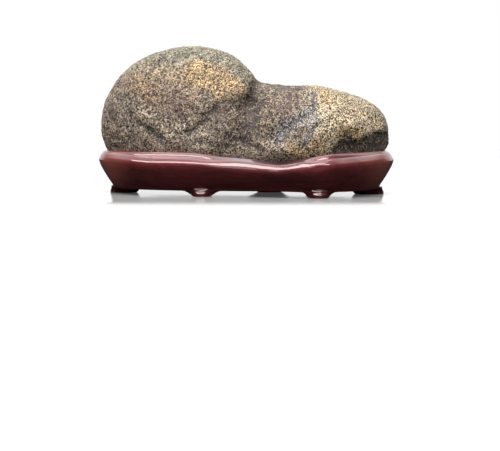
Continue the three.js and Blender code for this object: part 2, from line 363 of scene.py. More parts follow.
# ---------------------------------------------------------------- materials

def new_material(name):
    """A material with a principled surface. Gives it, its graph, the object place and the shader node."""
    material = bpy.data.materials.new(name)
    material.use_nodes = True
    graph = Graph(material.node_tree)
    shader = material.node_tree.nodes["Principled BSDF"]
    place = graph.node("ShaderNodeTexCoord", out="Object")
    return material, graph, place, shader


def attribute(graph, name, kind="Fac"):
    """A value that the mesh carries at its points."""
    node = graph.tree.nodes.new("ShaderNodeAttribute")
    node.attribute_name = name
    return node.outputs[kind]


def capsule(graph, place, start, end):
    """How far the place is from the line between two points, in metres."""
    start, end = Vector(point(*start)), Vector(point(*end))
    along = end - start
    near = graph.vector("SUBTRACT", place, tuple(start))
    reached = graph.vector("DOT_PRODUCT", near, tuple(along))
    share = graph.math("DIVIDE", reached, max(along.length_squared, NOT_ZERO), clamp=True)
    return graph.vector("LENGTH", graph.vector("SUBTRACT", near, graph.scaled(tuple(along), share)))


def rough_to_touch(graph, shader, strength, distance, height):
    """Fine relief on the surface's shading."""
    bump = graph.tree.nodes.new("ShaderNodeBump")
    bump.inputs["Strength"].default_value = strength
    bump.inputs["Distance"].default_value = distance
    graph.fill(bump.inputs["Height"], height)
    graph.fill(shader.inputs["Normal"], bump.outputs[0])


def band(graph, place, start, end, radius, soft):
    """1 within the radius of the line between two points, and 0 past it, over a soft edge. In mm."""
    gap = capsule(graph, place, start, end)
    return graph.ramp(gap, (radius + soft) * MM, max(radius - soft, 0.0) * MM)


def strongest(graph, masks):
    """The highest of several masks."""
    result = masks[0]
    for mask in masks[1:]:
        result = graph.math("MAXIMUM", result, mask)
    return result


# ---------------------------------------------------------------- stone

DARK_BROWN = (0.050, 0.034, 0.028)
DARK_GREY = (0.075, 0.072, 0.075)
BROWN = (0.165, 0.108, 0.082)
GREY_BROWN = (0.25, 0.19, 0.155)
ORANGE_BROWN = (0.27, 0.155, 0.088)
GOLD = (0.45, 0.29, 0.135)
PALE_GOLD = (0.47, 0.37, 0.235)
BLUE_GREY = (0.19, 0.20, 0.225)
GREEN_GREY_AND_SHEEN = (0.19, 0.175, 0.13)
PINK_GREY = (0.30, 0.235, 0.20)
PALE_BLUE = (0.36, 0.36, 0.37)
CREAM = (0.55, 0.44, 0.32)
LIGHT_CREAM = (0.8, 0.63, 0.43)
PAINTED_EDGE_SHADE = (0.11, 0.105, 0.08)

# Strokes of colour on the front: colour, strength, radius and softness in mm, then its places as (x, z).
FRONT_STROKES = [
    # Green-grey on the dome's top: partly its own tone, partly a painted sheen.
    (GREEN_GREY_AND_SHEEN, 0.9, 13, 8, (-76, 118), (-45, 116), (-20, 106), (0, 92)),
    (GOLD, 0.95, 11, 5, (-40, 102), (-22, 95), (-9, 85)),
    # Painted shade, in a dark green-grey, along the dome's left edge where it turns away from the light.
    (PAINTED_EDGE_SHADE, 0.6, 7, 6, (-97, 72), (-98, 88), (-88, 103), (-70, 115), (-50, 120)),
    (GOLD, 0.3, 9, 6, (-84, 101), (-50, 99)),
    (ORANGE_BROWN, 0.8, 8, 6, (-92, 92), (-80, 88)),
    (ORANGE_BROWN, 0.5, 9, 7, (-76, 82), (-46, 79)),
    (PINK_GREY, 0.6, 9, 6, (-84, 64), (-40, 60)),
    (BROWN, 0.85, 13, 7, (-4, 76), (8, 64), (4, 54)),
    (BROWN, 0.75, 9, 6, (12, 91), (40, 90), (62, 90)),
    (DARK_BROWN, 0.7, 7, 6, (12, 93), (40, 91), (74, 89)),
    (DARK_BROWN, 0.3, 8, 6, (14, 82), (40, 79), (60, 82)),
    (DARK_BROWN, 0.5, 8, 5, (-26, 72), (-24, 60)),
    (CREAM, 0.7, 8, 5, (-84, 62), (-62, 56), (-40, 57)),
    (DARK_BROWN, 0.35, 5, 4, (-63, 91), (-60, 86)),
    (DARK_BROWN, 0.55, 2, 2, (-71, 115), (-78, 108)),
    (DARK_BROWN, 0.55, 4, 3, (-95, 68), (-89, 59)),
    (DARK_BROWN, 0.75, 4, 3, (-80, 56), (-73, 49)),
    (DARK_BROWN, 0.5, 3, 3, (-110, 68), (-107, 61)),
    # Painted shade in the shallow valley across the dome's lower right.
    (DARK_BROWN, 0.5, 3, 3, (-25, 73), (-36, 60), (-46, 54)),
    (DARK_BROWN, 0.55, 8, 5, (-12, 78), (2, 66), (2, 58)),
    (DARK_BROWN, 0.4, 4, 3, (-16, 43), (-4, 43)),
    (DARK_BROWN, 0.6, 6, 4, (-16, 48), (3, 45)),
    (GREY_BROWN, 0.7, 6, 4, (-48, 46), (-28, 43)),
    (PALE_GOLD, 0.95, 14, 4, (64, 82), (84, 74), (103, 62)),
    (GOLD, 0.7, 5, 4, (62, 86), (67, 82)),
    (LIGHT_CREAM, 0.9, 9, 6, (66, 62), (84, 61), (106, 56)),
    (LIGHT_CREAM, 0.8, 5, 4, (62, 54), (72, 51), (70, 44)),
    (PINK_GREY, 0.8, 5, 4, (32, 44), (46, 42)),
    (PALE_GOLD, 0.9, 9, 5, (68, 64), (72, 54), (64, 44)),
    (GOLD, 0.9, 4, 3, (95, 52), (80, 56)),
    (GOLD, 0.9, 5, 4, (38, 40), (50, 37), (60, 45)),
    (BLUE_GREY, 0.75, 3.5, 3, (56, 84), (55, 73), (42, 63)),
    (BLUE_GREY, 0.85, 4, 3, (42, 63), (31, 56), (27, 48)),
    (PALE_BLUE, 0.7, 4, 3, (57, 65), (52, 60)),
    (DARK_GREY, 0.55, 1.2, 1.5, (60, 65), (46, 57), (33, 53)),
    (BLUE_GREY, 0.6, 2, 2, (58, 60), (47, 43)),
    # Painted shade down the crease between the dome and the body.
    (DARK_BROWN, 0.9, 5.5, 3, (10, 95), (9, 87), (4, 80)),
    (DARK_BROWN, 0.65, 7, 4, (11, 80), (5, 70), (6, 60)),
    (DARK_BROWN, 0.95, 3, 2, (6, 88), (3, 82)),
    (DARK_BROWN, 0.6, 2.5, 2, (11, 40), (14, 38)),
    (DARK_BROWN, 0.95, 4.5, 1, (80, 42), (85, 45), (90, 42)),
    (DARK_BROWN, 0.95, 5.5, 1, (100, 43), (110, 48), (118, 47)),
    (DARK_BROWN, 0.95, 4, 1.5, (74, 38), (96, 39), (118, 40)),
]
# The same for the back.
BACK_STROKES = [
    (GOLD, 0.8, 15, 8, (-84, 96), (-50, 92), (-25, 78)),
    (PALE_GOLD, 0.8, 16, 8, (66, 80), (96, 68)),
    # Painted shade down the crease between the dome and the body, as on the front.
    (DARK_BROWN, 0.8, 5, 4, (12, 92), (8, 56)),
    (DARK_BROWN, 0.55, 8, 6, (-66, 48), (-36, 44)),
    (BLUE_GREY, 0.7, 5, 4, (50, 48), (80, 62)),
    (GOLD, 0.7, 8, 6, (20, 42), (44, 42)),
    (DARK_BROWN, 0.6, 5, 3, (92, 42), (112, 46)),
]

# Sizes of the marks in the stone's surface, large to small.
CLOUD_SIZE = 22 * MM
STRAY_GOLD_SIZE = 15 * MM
MOTTLE_SIZE = 7 * MM
SPECKLE_SIZE = 1.5 * MM
CRYSTAL_SIZE = 0.6 * MM
# The dome's top turns green-grey between these heights: partly the stone's own tone, partly a painted sheen
# of the bright room above.
GREEN_SHEEN_FROM, GREEN_SHEEN_TO = 88 * MM, 112 * MM
# How deep a hollow is, or how far an edge stands out, where it starts to show and where it shows fully.
IN_A_HOLLOW = (0.00002, 0.00018)
ON_AN_EDGE = (-0.00002, -0.00014)
# The back's strokes take over from the front's across this depth.
BACK_TAKES_OVER = 18 * MM


def stroked(graph, place, colour, strokes):
    """Lays each stroke over the colour, in order."""
    flat = graph.vector("MULTIPLY", place, (1.0, 0.0, 1.0))
    for paint, strength, radius, soft, *path in strokes:
        ends = [(x, 0.0, z) for x, z in path]
        pieces = [band(graph, flat, a, b, radius, soft) for a, b in zip(ends, ends[1:])]
        colour = graph.colour(graph.math("MULTIPLY", strongest(graph, pieces), strength), colour, paint)
    return colour


def stone_colours(graph, place, torn):
    """The stone's broad colours, before its grain: brown clouds, a green-grey top that is partly painted
    sheen, stray gold, and the strokes, some of which are painted shade.
    """
    clouds = graph.noise(place, CLOUD_SIZE, 4.0, 0.6, 0.4)
    colour = graph.colour(graph.ramp(clouds, 0.36, 0.64), BROWN, GREY_BROWN)
    _, depth, high = graph.split(place)
    # The green-grey top: partly the stone's own tone, partly painted sheen.
    colour = graph.colour(graph.ramp(high, GREEN_SHEEN_FROM, GREEN_SHEEN_TO, 0.0, 0.85), colour, GREEN_GREY_AND_SHEEN)
    stray = graph.ramp(graph.noise(place, STRAY_GOLD_SIZE, 5.0, 0.62, 0.6, 0.3), 0.56, 0.68)
    colour = graph.colour(graph.math("MULTIPLY", stray, 0.4), colour, GOLD)
    front = stroked(graph, torn, colour, FRONT_STROKES)
    rear = stroked(graph, torn, colour, BACK_STROKES)
    return graph.colour(graph.ramp(depth, 0.0, BACK_TAKES_OVER), front, rear)


def stone_material():
    """Dull weathered stone: dark in its hollows, pale on its edges, with specks and crystals."""
    material, graph, place, shader = new_material("weathered_stone")
    colour = attribute(graph, "broad_colour", "Color")
    mottle = graph.ramp(graph.noise(place, MOTTLE_SIZE, 4.0, 0.65, 0.3, 0.8), 0.3, 0.7, 0.72, 1.3)

    hollow = attribute(graph, "hollow")
    colour = graph.colour(graph.ramp(hollow, *IN_A_HOLLOW, 0.0, 0.8), colour, DARK_BROWN)
    colour = graph.colour(graph.ramp(hollow, *ON_AN_EDGE, 0.0, 0.4), colour, PALE_GOLD)

    crystals = graph.grains(place, CRYSTAL_SIZE)
    speckle = graph.noise(place, SPECKLE_SIZE, 3.0, 0.7)
    shade = graph.math("MULTIPLY", mottle, graph.ramp(speckle, 0.34, 0.66, 0.86, 1.14))
    shade = graph.math("MULTIPLY", shade, graph.ramp(crystals, 0.35, 0.65, 0.0, 2.1))
    colour = graph.colour(1.0, colour, graph.grey(shade), mode="MULTIPLY")
    graph.fill(shader.inputs["Base Color"], colour)

    graph.fill(shader.inputs["Roughness"], graph.ramp(speckle, 0.3, 0.7, 0.8, 0.55))
    shader.inputs["Specular IOR Level"].default_value = 0.35
    shader.inputs["Sheen Weight"].default_value = 0.12
    shader.inputs["Sheen Roughness"].default_value = 0.35
    shader.inputs["Sheen Tint"].default_value = (0.75, 0.85, 0.75, 1.0)

    height = graph.math("ADD", speckle, graph.math("MULTIPLY", crystals, 0.5))
    rough_to_touch(graph, shader, 0.7, 0.45 * MM, height)
    return material


# Hollows worn in the front: radius and depth in mm, then its places as (x, z).
WORN = [
    (6, 3.2, (10, 96), (7, 86), (4, 78)),
    (6, 1.4, (-24, 74), (-36, 60), (-47, 53)),
    (5, 1.4, (56, 84), (55, 73), (31, 56), (26, 47)),
    (3, 0.9, (60, 65), (47, 43)),
    (4, 0.9, (-70, 116), (-78, 107)),
    (7, 1.5, (-82, 57), (-72, 48)),
    (5, 1.2, (-96, 69), (-89, 59)),
    (6, 1.4, (-15, 49), (3, 45)),
    (4, 1.2, (10, 41), (15, 38)),
]
# The undercut's two lobes and the band below them: radius in mm, then its places as (x, z).
UNDERCUT = [
    (5.0, (80, 42), (85, 45), (90, 42)),
    (6.0, (100, 43), (110, 48), (119, 47)),
    (4.5, (74, 38), (96, 39), (119, 40)),
]

# Sizes of the stone's relief, large to small, and how far apart its pits are.
POCKED_PATCH_SIZE = 26 * MM
LUMP_SIZE = 21 * MM
WEAR_SIZE = 7 * MM
PIT_SPACING = 6.5 * MM
SMALL_PIT_SPACING = 3.1 * MM
GRAIN_SIZE = 2.2 * MM
SMALL_PIT_SHARE = 0.45
NOISE_TO_DEPTH = 3.0
# How far a mark's edge is torn sideways, and how closely the tears follow one another.
TEAR = 9 * MM
TEARS_PER_METRE = 90.0
UNDERCUT_EDGE = 0.9       # mm
# Marks on the front fade out between these two depths.
FRONT_ENDS, FRONT_BEGINS = 8 * MM, -4 * MM
# Near the rim the relief fades to a small share, so that the stone still fits its recess.
SEATED_BELOW, FREE_ABOVE = -4 * MM, 9 * MM
SEATED_SHARE = 0.15
MOST_PROUD = 0.25 * MM
HOLLOW_ROUNDS = 7
STONE_MESH_SIZE = 1.04 * MM


def lines(path):
    """Each straight line of a path of (x, z) places."""
    return [((x0, 0, z0), (x1, 0, z1)) for (x0, z0), (x1, z1) in zip(path, path[1:])]


def weathering(material):
    """Rounds the plain stone's facets, and wears lumps, hollows, grain and pits into it."""
    graph, given = new_tree(
        "weathered_stone", rounding=24, lumps=1.3 * MM, weathering=0.9 * MM, grain=0.3 * MM,
        pits=1.3 * MM, undercut=1.5 * MM, rim=36.0 * MM,
    )
    position = graph.node("GeometryNodeInputPosition")
    normal = graph.node("GeometryNodeInputNormal")
    rounded = graph.node(
        "GeometryNodeBlurAttribute", position, given["rounding"], data_type="FLOAT_VECTOR",
    )
    geometry = graph.node("GeometryNodeSetPosition", given["Geometry"], None, rounded)

    coloured = graph.node("ShaderNodeTexNoise", position, None, TEARS_PER_METRE, 3.0, out="Color")
    sway = graph.vector("SUBTRACT", coloured, (0.5, 0.5, 0.5))
    torn = graph.vector("ADD", position, graph.scaled(sway, TEAR))
    lumps = graph.math("SUBTRACT", graph.noise(position, LUMP_SIZE, 3.0, 0.5, 0.3), 0.58)
    wear = graph.math("SUBTRACT", graph.noise(torn, WEAR_SIZE, 4.0, 0.6, 0.2, 0.4), 0.58)
    grain = graph.math("SUBTRACT", graph.noise(position, GRAIN_SIZE, 3.0, 0.6), 0.5)
    reliefs = [
        graph.math("MULTIPLY", wave, graph.math("MULTIPLY", given[label], NOISE_TO_DEPTH))
        for wave, label in ((lumps, "lumps"), (wear, "weathering"), (grain, "grain"))
    ]
    relief = graph.math("ADD", graph.math("ADD", reliefs[0], reliefs[1]), reliefs[2])

    pocked = graph.ramp(graph.noise(position, POCKED_PATCH_SIZE, 2.0, 0.5, 0.0, 0.9), 0.46, 0.6)
    deep = graph.ramp(graph.cells(torn, PIT_SPACING), 0.34, 0.12)
    pit = graph.math("MULTIPLY", deep, pocked)
    small = graph.ramp(graph.cells(position, SMALL_PIT_SPACING), 0.3, 0.1)
    pit = graph.math("MAXIMUM", pit, graph.math("MULTIPLY", small, SMALL_PIT_SHARE))
    relief = graph.math("SUBTRACT", relief, graph.math("MULTIPLY", pit, given["pits"]))
    flat = graph.vector("MULTIPLY", torn, (1.0, 0.0, 1.0))
    faces_front = graph.ramp(graph.split(position)[1], FRONT_ENDS, FRONT_BEGINS)
    for radius, depth, *path in WORN:
        worn = strongest(graph, [
            graph.ramp(capsule(graph, flat, start, end), radius * MM, 0.0, 0.0, depth * MM)
            for start, end in lines(path)
        ])
        relief = graph.math("SUBTRACT", relief, graph.math("MULTIPLY", worn, faces_front))
    cut = strongest(graph, [
        band(graph, flat, start, end, radius, UNDERCUT_EDGE)
        for radius, *path in UNDERCUT for start, end in lines(path)
    ])
    cut = graph.math("MULTIPLY", graph.math("MULTIPLY", cut, faces_front), given["undercut"])
    relief = graph.math("SUBTRACT", relief, cut)

    high = graph.split(position)[2]
    above = graph.math("SUBTRACT", high, given["rim"])
    free = graph.ramp(above, SEATED_BELOW, FREE_ABOVE, SEATED_SHARE, 1.0)
    relief = graph.math("MULTIPLY", graph.math("MINIMUM", relief, MOST_PROUD), free)
    geometry = graph.node("GeometryNodeSetPosition", geometry, None, None, graph.scaled(normal, relief))

    soft = graph.node("GeometryNodeBlurAttribute", position, HOLLOW_ROUNDS, data_type="FLOAT_VECTOR")
    hollow = graph.vector("DOT_PRODUCT", graph.vector("SUBTRACT", soft, position), normal)
    geometry = graph.stored(geometry, "hollow", hollow, "FLOAT")
    colour = stone_colours(graph, position, torn)
    geometry = graph.stored(geometry, "broad_colour", colour, "FLOAT_COLOR")
    end_tree(graph, geometry, material)
    return graph


def make_stone():
    """The stone, weathered from the plain solid, in place of it."""
    blank = merged_copy("stone", "stone_blank")
    remesh = blank.modifiers.new("even_mesh", "REMESH")
    remesh.mode = "VOXEL"
    remesh.voxel_size = STONE_MESH_SIZE
    stone = grow(blank, weathering(stone_material()), "worn_stone")
    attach(stone, "root")
    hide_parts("stone")


# ---------------------------------------------------------------- stand

# Measures in millimetres, but those that carry their unit are in metres.
RIM_BELOW_TOP = 0.3       # the outline is read this far below the lip's top
LIP_HEIGHT = 36.5         # the lip's top where it doesn't dip
SEAT_GAP = 0.35           # beside the stone
STONE_CLEARANCE = 0.4     # below the stone
COLUMNS = 800             # points round the stand
UNDERSIDE = 4.7
# Two soles are of different feet when they lie further apart than this, round the stand.
FOOT_GAP = math.radians(15.0)
# The lip's height at a point is the highest within this many degrees.
LIP_REACH = 3.2
# How many points the outline is evened over, to each side.
OUTLINE_REACH = 14
SOLE_THICKNESS = 0.05

# The wall from the lip's inner edge down. Each row is how far out, height, and the share of the lip's dip
# that it follows, and then the same three where the lip dips and its bead gives way to a plain bevel. The
# last number is 1 on that bevel.
WALL = [
    (0.1, 36.3, 1.0, 0.1, 36.3, 1.0, 1), (0.5, 36.5, 1.0, 0.5, 36.5, 1.0, 1),
    (1.1, 36.35, 1.0, 0.9, 36.25, 1.0, 1), (1.8, 35.6, 1.0, 1.6, 35.45, 0.97, 1),
    (2.4, 34.7, 1.0, 2.3, 34.6, 0.92, 1), (2.85, 33.7, 1.0, 3.0, 33.7, 0.86, 1),
    (3.1, 32.9, 0.95, 3.6, 32.9, 0.8, 1), (3.5, 32.4, 0.85, 3.95, 32.2, 0.76, 0.3),
    (4.15, 31.8, 0.78, 4.35, 31.4, 0.73, 0), (4.9, 30.75, 0.7, 4.9, 30.2, 0.7, 0),
    (5.6, 29.6, 0.63, 5.4, 28.9, 0.66, 0), (6.2, 28.45, 0.58, 5.8, 27.5, 0.62, 0),
    (6.5, 27.2, 0.55, 6.05, 25.8, 0.59, 0), (6.4, 25.3, 0.5, 5.7, 23.4, 0.5, 0),
    (5.05, 22.0, 0.4, 4.4, 20.4, 0.38, 0), (2.2, 17.6, 0.28, 2.2, 17.0, 0.26, 0),
    (-0.5, 13.8, 0.2, -0.4, 13.8, 0.18, 0), (-2.9, 10.6, 0.1, -2.9, 10.6, 0.1, 0),
]
# The bead gives way to the bevel as the lip dips from the first depth to the second.
BEAD_ENDS = (0.8, 3.6)
# The wall rises by this at the stand's two ends, which begin and are reached that far from its middle.
END_LIFT = 2.2
ENDS = (78 * MM, 108 * MM)
# The lift is on the wall alone: it fades in down from the lip and out towards the feet.
LIFT_BELOW_LIP = (36.0, 33.0)
LIFT_ABOVE_FEET = (12.0, 24.0)

# The feet, below the wall. Each row is how far out and how high it is between the feet, and how far the
# foot takes over. Then, at the middle of a foot, it is how far it is drawn in, from 0 at its toe to 1 at
# its neck, on a flared and on a knobbed foot, how deep it goes inward, and its height. Between the feet
# the underside is flat from the seventh row on.
FOOT = [
    (-4.7, 8.0, 0.0, 1.0, 1.0, 0.0, 8.0), (-5.4, 6.8, 0.5, 1.0, 0.85, 0.0, 7.0),
    (-5.8, 5.8, 1.0, 0.97, 0.62, 0.0, 6.4), (-6.1, 5.2, 1.0, 0.9, 0.4, 0.0, 5.8),
    (-6.5, 4.85, 1.0, 0.78, 0.33, 0.0, 5.0), (-7.0, 4.72, 1.0, 0.58, 0.3, 0.0, 4.2),
    (-7.5, UNDERSIDE, 1.0, 0.28, 0.12, 0.0, 3.3), (-8.0, UNDERSIDE, 1.0, 0.03, 0.0, 0.0, 2.4),
    (-8.5, UNDERSIDE, 1.0, 0.0, 0.0, 0.0, 1.4), (-9.2, UNDERSIDE, 1.0, 0.0, 0.03, 0.0, 0.5),
    (-10.0, UNDERSIDE, 1.0, 0.06, 0.12, 0.0, 0.05), (-11.0, UNDERSIDE, 1.0, 0.1, 0.1, 0.25, 0.0),
    (-11.8, UNDERSIDE, 1.0, 0.1, 0.1, 0.84, 0.0), (-12.1, UNDERSIDE, 1.0, 0.1, 0.1, 0.92, 0.2),
    (-12.4, UNDERSIDE, 1.0, 0.1, 0.1, 0.98, 1.2), (-12.7, UNDERSIDE, 1.0, 0.1, 0.1, 1.05, 3.0),
    (-13.0, UNDERSIDE, 1.0, 0.1, 0.1, 1.12, UNDERSIDE),
]
RIM = (0.1, 36.2)         # the lip's inner edge: out and height
EDGE_OUT = -13.0          # where the feet end inward and the plain underside begins
NECK_SETBACK = 6.2        # how far a knobbed foot's neck lies in from the outline
TOE_FLARE = 2.3           # how far a flared foot's toe stands out past its neck
SOLE_DRAWN_IN = 0.1
SOLE_HALF_WIDTH = 6.6
# What each point of the section carries, in order: the wall's seven numbers, the lift at the ends, the
# foot's numbers, how far in it lies on the way to the middle, and whether it is in the seat.
SECTION_LABELS = [
    "out", "height", "follows", "slope_out", "slope_height", "slope_follows", "bevel", "lift",
    "footed", "drawn", "knob_drawn", "depth", "foot_height", "inward", "seat",
]
SECTION_LENGTHS = {"out", "height", "slope_out", "slope_height", "lift", "foot_height"}
# What each point of the ring carries about the foot that it is at.
FOOT_LABELS = ["foot", "knob", "setback", "reach", "axis_x", "axis_y", "rounding"]
# How far in each row lies, as a share of the way to the middle: in the seat, and under the stand.
SEAT_SHARES = [1.0, 0.82, 0.64, 0.48, 0.34, 0.23, 0.15, 0.09, 0.05, 0.025, 0.01]
UNDERSIDE_SHARES = [0.36, 0.52, 0.7, 0.86, 1.0]
# Steps between two given rows of the wall and of the foot.
WALL_STEPS = 4
FOOT_STEPS = 2
# A foot's height, from 0 to 1, at that distance from its middle along the outline.
FOOT_FLANK = [
    (5.6, 0.0), (7.0, 0.05), (8.4, 0.18), (10.2, 0.42), (12.4, 0.68), (14.8, 0.9), (18.0, 1.0),
]
FOOT_SQUARENESS = 2.1
FOOT_CORNER = 2.6         # a foot's corner is rounded over this much past its sole
MOST_ROUNDING = 5 * MM
FOOT_ENDS = 20.0          # nothing of a foot lies further from its sole than this
# A foot is knobbed where its way out points this far to the front, and flared elsewhere.
FACES_FRONT = -0.4
# The front of the stand stays this far inside its box, and turns over this softly.
FRONT_MARGIN = 0.2 * MM
FRONT_SOFTNESS = 1.2 * MM
# The recess is found by looking up from below the floor, over this distance.
LOOK_FROM = -0.01
LOOK_DISTANCE = 1.0
WELD_DISTANCE = 0.005 * MM


def smooth_rows(rows, steps):
    """More rows on a smooth curve through the given ones, with that many steps between two of them."""
    result = []
    for i in range(len(rows) - 1):
        before, here, after, beyond = (rows[max(min(k, len(rows) - 1), 0)] for k in range(i - 1, i + 3))
        for step in range(steps):
            t = step / steps
            result.append(tuple(on_curve(*four, t) for four in zip(before, here, after, beyond)))
    result.append(rows[-1])
    return result


def on_curve(a, b, c, d, t):
    """The value that far from b to c, on a smooth curve through all four."""
    bend = (2 * a - 5 * b + 4 * c - d) * t * t
    turn = (3 * b - a - 3 * c + d) * t ** 3
    return 0.5 * (2 * b + (c - a) * t + bend + turn)


def section_row(out, height, **others):
    """One row of the section, level all round unless told otherwise. What isn't given is 0."""
    given = {"out": out, "height": height, "slope_out": out, "slope_height": height, **others}
    return tuple(given.get(label, 0.0) for label in SECTION_LABELS)


def wall_row(row):
    """One row of the wall, lifted at the ends of the stand."""
    lift = END_LIFT * fade(row[1], *LIFT_BELOW_LIP) * fade(row[1], *LIFT_ABOVE_FEET)
    return section_row(**dict(zip(SECTION_LABELS, row)), lift=lift)


def section_rows():
    """The section's rows, from the middle of the seat over the lip and down to the middle below."""
    seat = [
        section_row(*RIM, follows=1.0, slope_follows=1.0, bevel=1.0, inward=share, seat=1.0)
        for share in SEAT_SHARES
    ]
    wall = [wall_row(row) for row in smooth_rows(WALL, WALL_STEPS)]
    foot = [
        section_row(out, high, footed=footed, drawn=drawn, knob_drawn=knob, depth=depth, foot_height=low)
        for out, high, footed, drawn, knob, depth, low in smooth_rows(FOOT, FOOT_STEPS)
    ]
    under = [section_row(EDGE_OUT, UNDERSIDE, inward=share) for share in UNDERSIDE_SHARES]
    return seat + wall + foot + under


def strand(name, points, closed, **values):
    """A line of edges through the points, carrying named values at its points."""
    mesh = bpy.data.meshes.new(name)
    edges = [(i, i + 1) for i in range(len(points) - 1)]
    if closed:
        edges.append((len(points) - 1, 0))
    mesh.from_pydata(points, edges, [])
    for label, numbers in values.items():
        mesh.attributes.new(label, "FLOAT", "POINT").data.foreach_set("value", numbers)
    return add_object(name, mesh)


def even_ring(ring, count):
    """The closed line again, with that many points at equal steps."""
    steps = [(b - a).length for a, b in zip(ring, ring[1:] + ring[:1])]
    total, result, index, walked = sum(steps), [], 0, 0.0
    for k in range(count):
        goal = total * k / count
        while walked + steps[index] < goal:
            walked += steps[index]
            index += 1
        share = (goal - walked) / steps[index]
        result.append(ring[index].lerp(ring[(index + 1) % len(ring)], share))
    return result


def smooth_ring(values, reach):
    """Evens out values round a closed ring. What a plain mean would pull in is given back."""
    count = len(values)
    weights = [math.exp(-0.5 * (2.5 * k / reach) ** 2) for k in range(-reach, reach + 1)]
    whole = 1.0 / sum(weights)

    def evened(given):
        """Each value as a mean of those near it."""
        result = []
        for i in range(count):
            first, *others = (given[(i + k) % count] * weights[k + reach] for k in range(-reach, reach + 1))
            result.append(sum(others, first) * whole)
        return result

    once = evened(values)
    twice = evened(once)
    return [2 * a - b for a, b in zip(once, twice)]


def read_stand():
    """The lip's outline and height, and each foot's sole, read from the plain stand. In metres."""
    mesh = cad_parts["stand"].data
    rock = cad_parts["stone"].data
    stone = BVHTree.FromPolygons([v.co for v in rock.vertices], [p.vertices for p in rock.polygons])
    turns = [2 * math.pi * k / COLUMNS for k in range(COLUMNS)]
    top = [STAND_LOW.z] * COLUMNS
    near = round(COLUMNS * LIP_REACH / 360)
    for vertex in mesh.vertices:
        column = round(math.atan2(vertex.co.y, vertex.co.x) / (2 * math.pi) * COLUMNS)
        for k in range(column - near, column + near + 1):
            top[k % COLUMNS] = max(top[k % COLUMNS], vertex.co.z)
    top = smooth_ring(top, 2 * near)
    ring = []
    for turn, height in zip(turns, top):
        way = Vector((math.cos(turn), math.sin(turn), 0.0))
        level = Vector((0.0, 0.0, height - RIM_BELOW_TOP * MM))
        hit = stone.ray_cast(level + way * 0.3, -way)[0]
        ring.append(Vector((hit.x, hit.y, height)))
    ring = even_ring(smooth_ring(ring, OUTLINE_REACH), COLUMNS)
    soles = [v.co.copy() for v in mesh.vertices if v.co.z < STAND_LOW.z + SOLE_THICKNESS * MM]
    soles.sort(key=lambda place: math.atan2(place.y, place.x))
    feet = [[soles[0]]]
    for a, b in zip(soles, soles[1:]):
        if math.atan2(b.y, b.x) - math.atan2(a.y, a.x) > FOOT_GAP:
            feet.append([])
        feet[-1].append(b)
    return ring, feet


def foot_height(distance):
    """How far up the underside is at that distance from a foot's middle, from 0 to 1."""
    if distance <= FOOT_FLANK[0][0]:
        return 0.0
    for (a, low), (b, high) in zip(FOOT_FLANK, FOOT_FLANK[1:]):
        if distance < b:
            share = (distance - a) / (b - a)
            return low + (high - low) * share
    return 1.0


def fade(value, low, high):
    """Goes evenly from 0 at low to 1 at high."""
    return min(max((value - low) / (high - low), 0.0), 1.0)


def make_ring():
    """The line that the stand's section follows: the stone's outline at the lip."""
    lip, feet = read_stand()
    flat = [Vector((p.x, p.y, 0.0)) for p in lip]
    outward = []
    for before, after in zip(flat[-1:] + flat[:-1], flat[1:] + flat[:1]):
        along = (after - before).normalized()
        outward.append(Vector((along.y, -along.x, 0.0)))
    line = [p + way * SEAT_GAP * MM for p, way in zip(flat, outward)]
    step = sum((b - a).length for a, b in zip(line, line[1:] + line[:1])) / COLUMNS
    drop = [LIP_HEIGHT * MM - p.z for p in lip]
    low, high = (end * MM for end in BEAD_ENDS)
    values = {label: [0.0] * COLUMNS for label in FOOT_LABELS}
    for sole in feet:
        mark_foot(values, sole, line, outward, step)
    values["outward_x"] = [way.x for way in outward]
    values["outward_y"] = [way.y for way in outward]
    values["drop"] = drop
    values["slope"] = [fade(dip, low, high) for dip in drop]
    values["end"] = [fade(abs(p.x), *ENDS) for p in lip]
    return strand("lip_line", line, True, **values)


def mark_foot(values, sole, line, outward, step):
    """Writes one foot into the ring's values, from the plain stand's sole and the outline above it."""
    middle = sum(sole, Vector()) / len(sole)
    column = min(range(COLUMNS), key=lambda k: (line[k] - Vector((middle.x, middle.y, 0.0))).length)
    axis = outward[column]
    side = Vector((-axis.y, axis.x, 0.0))

    def off_middle(k):
        """How far to the side of the foot a point of the line is. The nearer of two wins a tie."""
        gap = line[k] - middle
        return abs(gap.dot(side)) + gap.length * 0.01

    column = min(range(COLUMNS), key=off_middle)
    axis = outward[column]
    side = Vector((-axis.y, axis.x, 0.0))
    outs = [(place - line[column]).dot(axis) for place in sole]
    acrosses = [(place - line[column]).dot(side) for place in sole]
    half_width = (max(acrosses) - min(acrosses)) / 2
    setback = (-max(outs) - SOLE_DRAWN_IN * NECK_SETBACK * MM) / (1 - SOLE_DRAWN_IN)
    knob = 1.0 if axis.y < FACES_FRONT else 0.0
    widening = half_width / MM - SOLE_HALF_WIDTH
    for k in range(COLUMNS):
        away = min(abs(k - column), COLUMNS - abs(k - column)) * step / MM
        share = 1.0 - foot_height(away - widening)
        if away > half_width / MM + FOOT_ENDS:
            continue
        across = min(away / (half_width / MM + FOOT_CORNER), 1.0)
        rounding = -min(outs) / 2 * (1 - (1 - across ** FOOT_SQUARENESS) ** (1 / FOOT_SQUARENESS))
        reach = -min(outs) - setback
        marks = [share, knob, setback, reach, axis.x, axis.y, min(rounding, MOST_ROUNDING)]
        for label, value in zip(FOOT_LABELS, marks):
            values[label][k] = value


